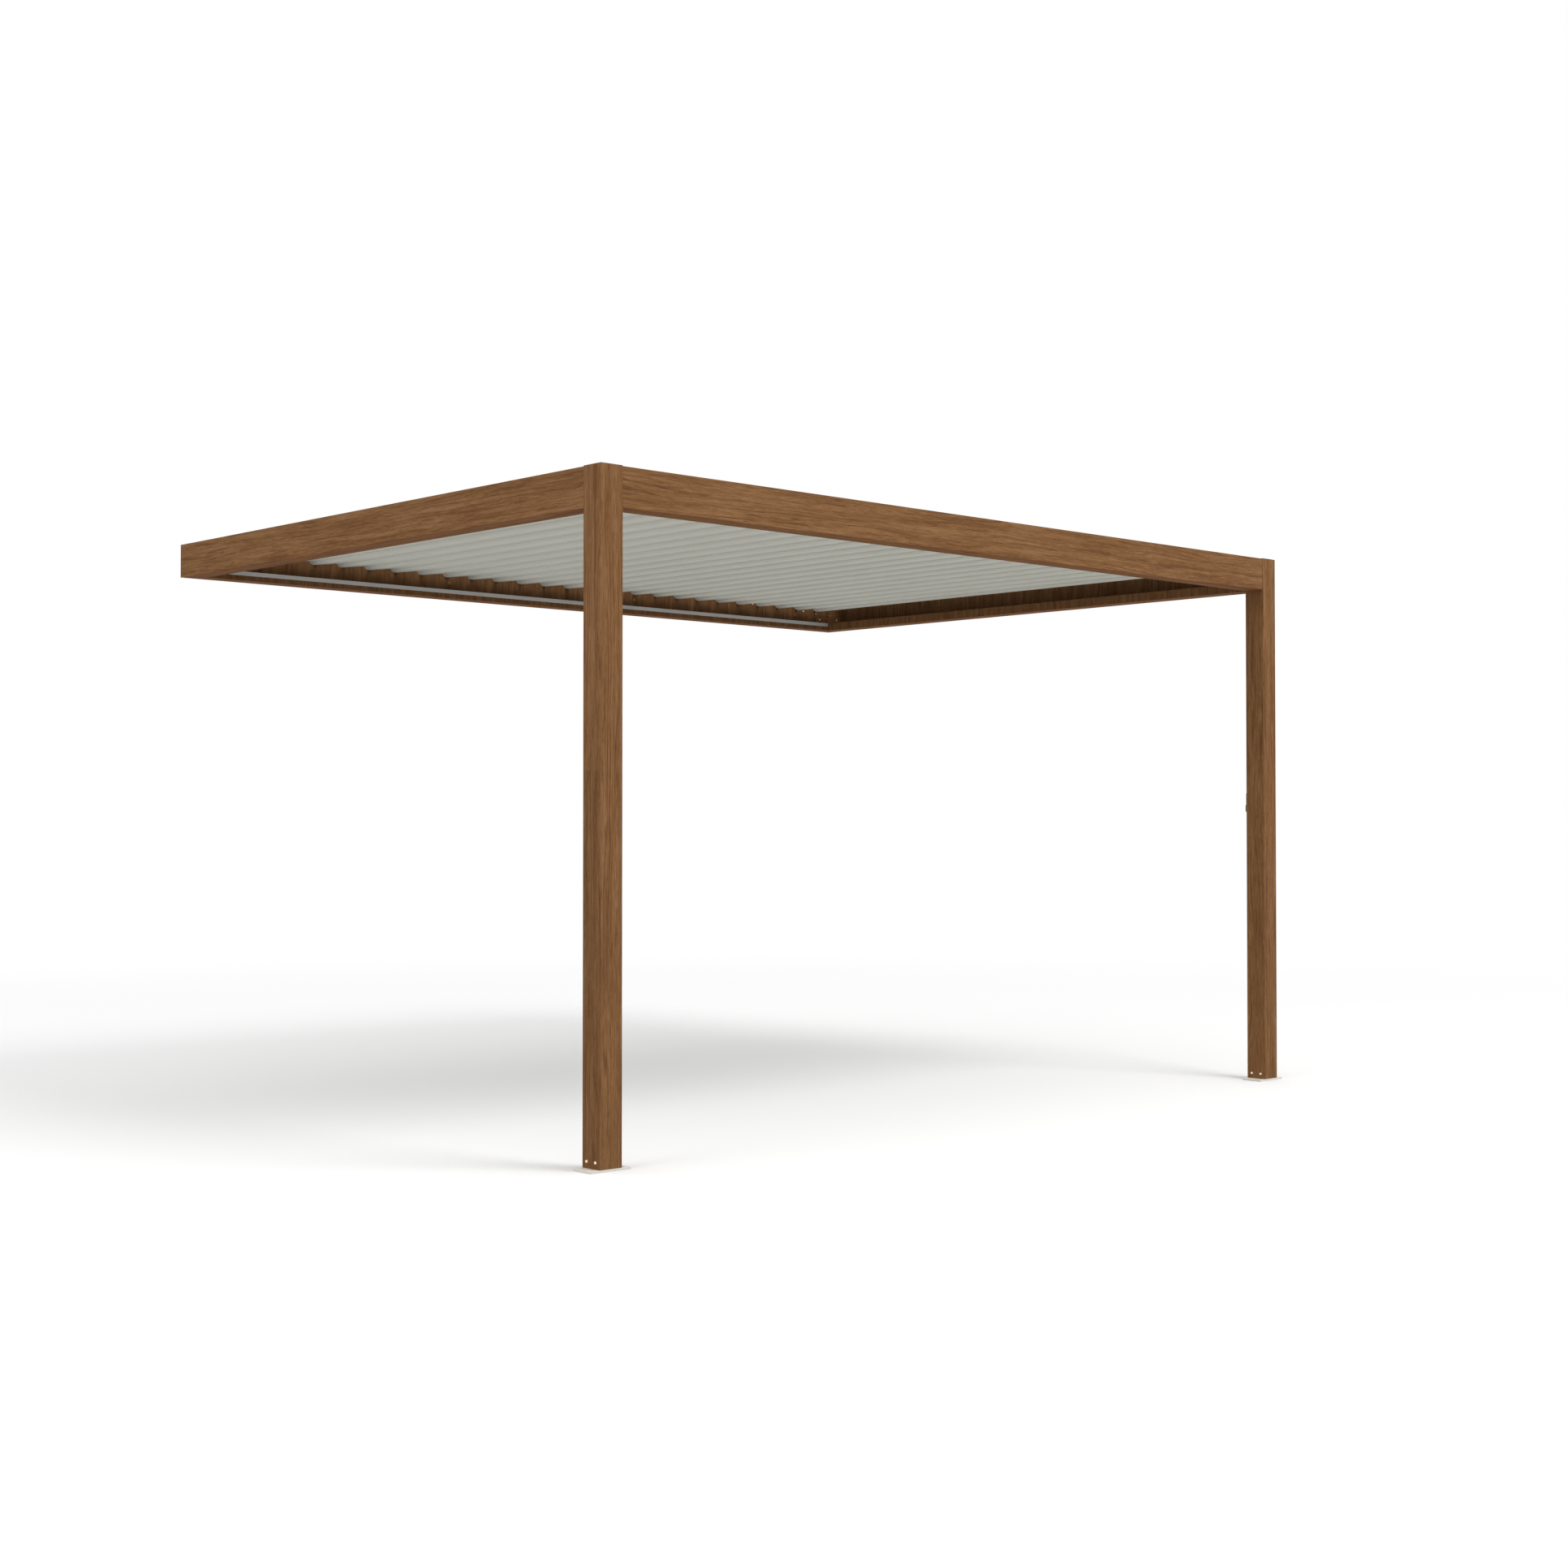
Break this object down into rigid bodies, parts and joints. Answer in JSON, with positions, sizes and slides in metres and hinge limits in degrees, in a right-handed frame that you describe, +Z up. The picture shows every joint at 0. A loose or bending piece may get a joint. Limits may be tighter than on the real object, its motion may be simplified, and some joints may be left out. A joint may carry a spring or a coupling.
{
  "type": "wall-mounted louvered pergola",
  "caption": "Wall-mounted louvered pergola: square posts, gutter beams and a roof of tilting blades that pivot together to open or close the shade.",
  "frame": {"origin": "centre of the wall beam's flat back face, where it meets the wall, at half the beam's height", "axes": "+X along the wall to the right as seen from the garden, +Y into the wall, +Z up; the posts stand towards -Y"},
  "size_m": [4.225, 3.09, 2.508],
  "materials": {
    "wood_coat": "satin",
    "blade_coat": "satin",
    "cream_coat": "satin",
    "bare_aluminium": "satin",
    "brown_nylon": "matte",
    "diffuser": "matte",
    "light_plastic": "matte",
    "stainless_steel": "satin"
  },
  "bodies": {
    "frame": {"wall_beam": "wood_coat", "front_beam": "wood_coat", "left_beam": "wood_coat", "right_beam": "wood_coat", "left_post": "wood_coat", "right_post": "wood_coat", "left_foot": "cream_coat", "right_foot": "cream_coat", "left_end_cap": "wood_coat", "right_end_cap": "wood_coat", "post_caps": "wood_coat", "light_strip": "diffuser", "wall_bushings": "brown_nylon", "front_bushings": "brown_nylon", "corner_brackets": "wood_coat", "switch_plate": "wood_coat", "switch_knob": "light_plastic"},
    "blade_01": {"blade_01": "blade_coat"},
    "blade_02": {"blade_02": "blade_coat"},
    "blade_03": {"blade_03": "blade_coat"},
    "blade_04": {"blade_04": "blade_coat"},
    "blade_05": {"blade_05": "blade_coat"},
    "blade_06": {"blade_06": "blade_coat"},
    "blade_07": {"blade_07": "blade_coat"},
    "blade_08": {"blade_08": "blade_coat"},
    "blade_09": {"blade_09": "blade_coat"},
    "blade_10": {"blade_10": "blade_coat"},
    "blade_11": {"blade_11": "blade_coat"},
    "blade_12": {"blade_12": "blade_coat"},
    "blade_13": {"blade_13": "blade_coat"},
    "blade_14": {"blade_14": "blade_coat"},
    "blade_15": {"blade_15": "blade_coat"},
    "blade_16": {"blade_16": "blade_coat"},
    "blade_17": {"blade_17": "blade_coat"},
    "blade_18": {"blade_18": "blade_coat"},
    "blade_19": {"blade_19": "blade_coat"},
    "blade_20": {"blade_20": "blade_coat"},
    "blade_21": {"blade_21": "blade_coat"},
    "blade_22": {"blade_22": "blade_coat"},
    "blade_23": {"blade_23": "blade_coat"},
    "blade_24": {"blade_24": "blade_coat"},
    "blade_25": {"blade_25": "blade_coat"},
    "blade_26": {"blade_26": "blade_coat"},
    "blade_27": {"blade_27": "blade_coat"},
    "drive_bar": {"drive_bar": "bare_aluminium"}
  },
  "joints": [
    {"name": "blade_01_tilt", "type": "hinge", "parent": "frame", "child": "blade_01", "pos_m": [-1.97086, -1.545, 0.04734], "axis": [0, -1, 0], "range_deg": [0, 90]},
    {"name": "blade_02_tilt", "type": "hinge", "parent": "frame", "child": "blade_02", "pos_m": [-1.81976, -1.545, 0.04734], "axis": [0, -1, 0], "range_deg": [0, 90]},
    {"name": "blade_03_tilt", "type": "hinge", "parent": "frame", "child": "blade_03", "pos_m": [-1.66865, -1.545, 0.04734], "axis": [0, -1, 0], "range_deg": [0, 90]},
    {"name": "blade_04_tilt", "type": "hinge", "parent": "frame", "child": "blade_04", "pos_m": [-1.51755, -1.545, 0.04734], "axis": [0, -1, 0], "range_deg": [0, 90]},
    {"name": "blade_05_tilt", "type": "hinge", "parent": "frame", "child": "blade_05", "pos_m": [-1.36644, -1.545, 0.04734], "axis": [0, -1, 0], "range_deg": [0, 90]},
    {"name": "blade_06_tilt", "type": "hinge", "parent": "frame", "child": "blade_06", "pos_m": [-1.21534, -1.545, 0.04734], "axis": [0, -1, 0], "range_deg": [0, 90]},
    {"name": "blade_07_tilt", "type": "hinge", "parent": "frame", "child": "blade_07", "pos_m": [-1.06423, -1.545, 0.04734], "axis": [0, -1, 0], "range_deg": [0, 90]},
    {"name": "blade_08_tilt", "type": "hinge", "parent": "frame", "child": "blade_08", "pos_m": [-0.91313, -1.545, 0.04734], "axis": [0, -1, 0], "range_deg": [0, 90]},
    {"name": "blade_09_tilt", "type": "hinge", "parent": "frame", "child": "blade_09", "pos_m": [-0.76202, -1.545, 0.04734], "axis": [0, -1, 0], "range_deg": [0, 90]},
    {"name": "blade_10_tilt", "type": "hinge", "parent": "frame", "child": "blade_10", "pos_m": [-0.61092, -1.545, 0.04734], "axis": [0, -1, 0], "range_deg": [0, 90]},
    {"name": "blade_11_tilt", "type": "hinge", "parent": "frame", "child": "blade_11", "pos_m": [-0.45981, -1.545, 0.04734], "axis": [0, -1, 0], "range_deg": [0, 90]},
    {"name": "blade_12_tilt", "type": "hinge", "parent": "frame", "child": "blade_12", "pos_m": [-0.30871, -1.545, 0.04734], "axis": [0, -1, 0], "range_deg": [0, 90]},
    {"name": "blade_13_tilt", "type": "hinge", "parent": "frame", "child": "blade_13", "pos_m": [-0.1576, -1.545, 0.04734], "axis": [0, -1, 0], "range_deg": [0, 90]},
    {"name": "blade_14_tilt", "type": "hinge", "parent": "frame", "child": "blade_14", "pos_m": [-0.0065, -1.545, 0.04734], "axis": [0, -1, 0], "range_deg": [0, 90]},
    {"name": "blade_15_tilt", "type": "hinge", "parent": "frame", "child": "blade_15", "pos_m": [0.14461, -1.545, 0.04734], "axis": [0, -1, 0], "range_deg": [0, 90]},
    {"name": "blade_16_tilt", "type": "hinge", "parent": "frame", "child": "blade_16", "pos_m": [0.29571, -1.545, 0.04734], "axis": [0, -1, 0], "range_deg": [0, 90]},
    {"name": "blade_17_tilt", "type": "hinge", "parent": "frame", "child": "blade_17", "pos_m": [0.44682, -1.545, 0.04734], "axis": [0, -1, 0], "range_deg": [0, 90]},
    {"name": "blade_18_tilt", "type": "hinge", "parent": "frame", "child": "blade_18", "pos_m": [0.59792, -1.545, 0.04734], "axis": [0, -1, 0], "range_deg": [0, 90]},
    {"name": "blade_19_tilt", "type": "hinge", "parent": "frame", "child": "blade_19", "pos_m": [0.74903, -1.545, 0.04734], "axis": [0, -1, 0], "range_deg": [0, 90]},
    {"name": "blade_20_tilt", "type": "hinge", "parent": "frame", "child": "blade_20", "pos_m": [0.90013, -1.545, 0.04734], "axis": [0, -1, 0], "range_deg": [0, 90]},
    {"name": "blade_21_tilt", "type": "hinge", "parent": "frame", "child": "blade_21", "pos_m": [1.05124, -1.545, 0.04734], "axis": [0, -1, 0], "range_deg": [0, 90]},
    {"name": "blade_22_tilt", "type": "hinge", "parent": "frame", "child": "blade_22", "pos_m": [1.20234, -1.545, 0.04734], "axis": [0, -1, 0], "range_deg": [0, 90]},
    {"name": "blade_23_tilt", "type": "hinge", "parent": "frame", "child": "blade_23", "pos_m": [1.35345, -1.545, 0.04734], "axis": [0, -1, 0], "range_deg": [0, 90]},
    {"name": "blade_24_tilt", "type": "hinge", "parent": "frame", "child": "blade_24", "pos_m": [1.50455, -1.545, 0.04734], "axis": [0, -1, 0], "range_deg": [0, 90]},
    {"name": "blade_25_tilt", "type": "hinge", "parent": "frame", "child": "blade_25", "pos_m": [1.65566, -1.545, 0.04734], "axis": [0, -1, 0], "range_deg": [0, 90]},
    {"name": "blade_26_tilt", "type": "hinge", "parent": "frame", "child": "blade_26", "pos_m": [1.80676, -1.545, 0.04734], "axis": [0, -1, 0], "range_deg": [0, 90]},
    {"name": "blade_27_tilt", "type": "hinge", "parent": "frame", "child": "blade_27", "pos_m": [1.95787, -1.545, 0.04734], "axis": [0, -1, 0], "range_deg": [0, 90]},
    {"name": "drive_bar_swing", "type": "hinge", "parent": "blade_14", "child": "drive_bar", "pos_m": [-0.03478, -3.036, 0.01905], "axis": [0, -1, 0], "range_deg": [-90, 0]}
  ],
  "couplings": [
    {"joint": "blade_01_tilt", "follows": "blade_14_tilt", "ratio": 1},
    {"joint": "blade_02_tilt", "follows": "blade_14_tilt", "ratio": 1},
    {"joint": "blade_03_tilt", "follows": "blade_14_tilt", "ratio": 1},
    {"joint": "blade_04_tilt", "follows": "blade_14_tilt", "ratio": 1},
    {"joint": "blade_05_tilt", "follows": "blade_14_tilt", "ratio": 1},
    {"joint": "blade_06_tilt", "follows": "blade_14_tilt", "ratio": 1},
    {"joint": "blade_07_tilt", "follows": "blade_14_tilt", "ratio": 1},
    {"joint": "blade_08_tilt", "follows": "blade_14_tilt", "ratio": 1},
    {"joint": "blade_09_tilt", "follows": "blade_14_tilt", "ratio": 1},
    {"joint": "blade_10_tilt", "follows": "blade_14_tilt", "ratio": 1},
    {"joint": "blade_11_tilt", "follows": "blade_14_tilt", "ratio": 1},
    {"joint": "blade_12_tilt", "follows": "blade_14_tilt", "ratio": 1},
    {"joint": "blade_13_tilt", "follows": "blade_14_tilt", "ratio": 1},
    {"joint": "blade_15_tilt", "follows": "blade_14_tilt", "ratio": 1},
    {"joint": "blade_16_tilt", "follows": "blade_14_tilt", "ratio": 1},
    {"joint": "blade_17_tilt", "follows": "blade_14_tilt", "ratio": 1},
    {"joint": "blade_18_tilt", "follows": "blade_14_tilt", "ratio": 1},
    {"joint": "blade_19_tilt", "follows": "blade_14_tilt", "ratio": 1},
    {"joint": "blade_20_tilt", "follows": "blade_14_tilt", "ratio": 1},
    {"joint": "blade_21_tilt", "follows": "blade_14_tilt", "ratio": 1},
    {"joint": "blade_22_tilt", "follows": "blade_14_tilt", "ratio": 1},
    {"joint": "blade_23_tilt", "follows": "blade_14_tilt", "ratio": 1},
    {"joint": "blade_24_tilt", "follows": "blade_14_tilt", "ratio": 1},
    {"joint": "blade_25_tilt", "follows": "blade_14_tilt", "ratio": 1},
    {"joint": "blade_26_tilt", "follows": "blade_14_tilt", "ratio": 1},
    {"joint": "blade_27_tilt", "follows": "blade_14_tilt", "ratio": 1},
    {"joint": "drive_bar_swing", "follows": "blade_14_tilt", "ratio": -1}
  ]
}
